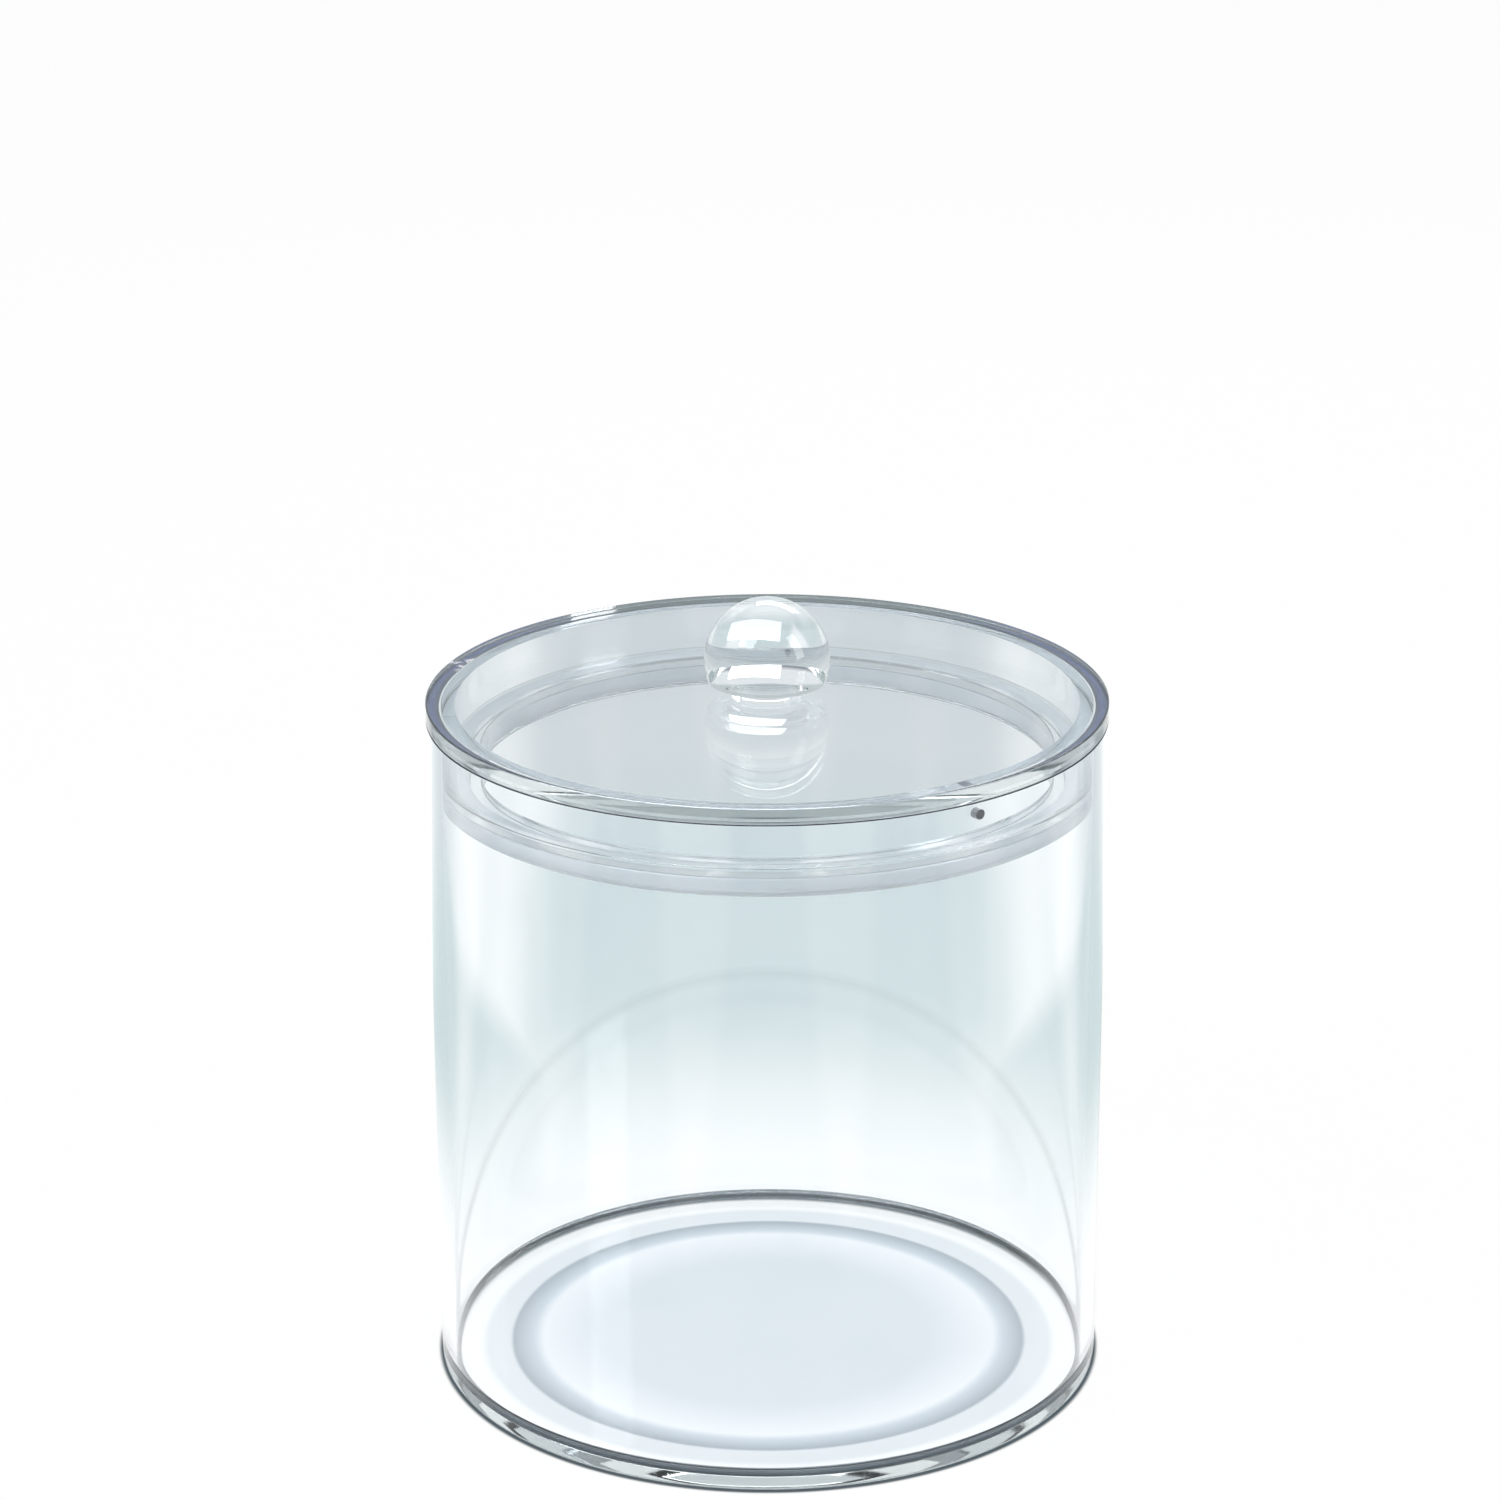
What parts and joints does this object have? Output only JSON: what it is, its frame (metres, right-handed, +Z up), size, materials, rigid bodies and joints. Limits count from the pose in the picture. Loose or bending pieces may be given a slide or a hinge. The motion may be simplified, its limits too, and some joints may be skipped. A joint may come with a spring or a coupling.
{
  "type": "lidded clear jar",
  "caption": "Clear cylindrical candy jar with a flat base and a lift-off plug lid that has a soft seal ring and a round clear knob.",
  "frame": {"origin": "centre of the underside of the base disc", "axes": "+Z up along the jar's axis, towards the lid and the knob; -Y faces the picture's camera"},
  "size_m": [0.2, 0.2, 0.237],
  "materials": {
    "clear_tube": "clear, polished",
    "clear_base": "clear, polished",
    "clear_lid": "clear, polished",
    "clear_knob": "clear, polished",
    "soft_seal": "milky, satin"
  },
  "bodies": {
    "jar": {"jar_wall": "clear_tube", "jar_base": "clear_base"},
    "lid": {"lid_plate": "clear_lid", "plug_wall": "clear_lid", "plug_flange": "clear_lid", "seal_hoop": "clear_lid", "seal_ring": "soft_seal", "knob": "clear_knob"}
  },
  "joints": [
    {"name": "lid_lift", "type": "slide", "parent": "jar", "child": "lid", "axis": [0, 0, 1], "range_m": [0, 0.12]}
  ]
}
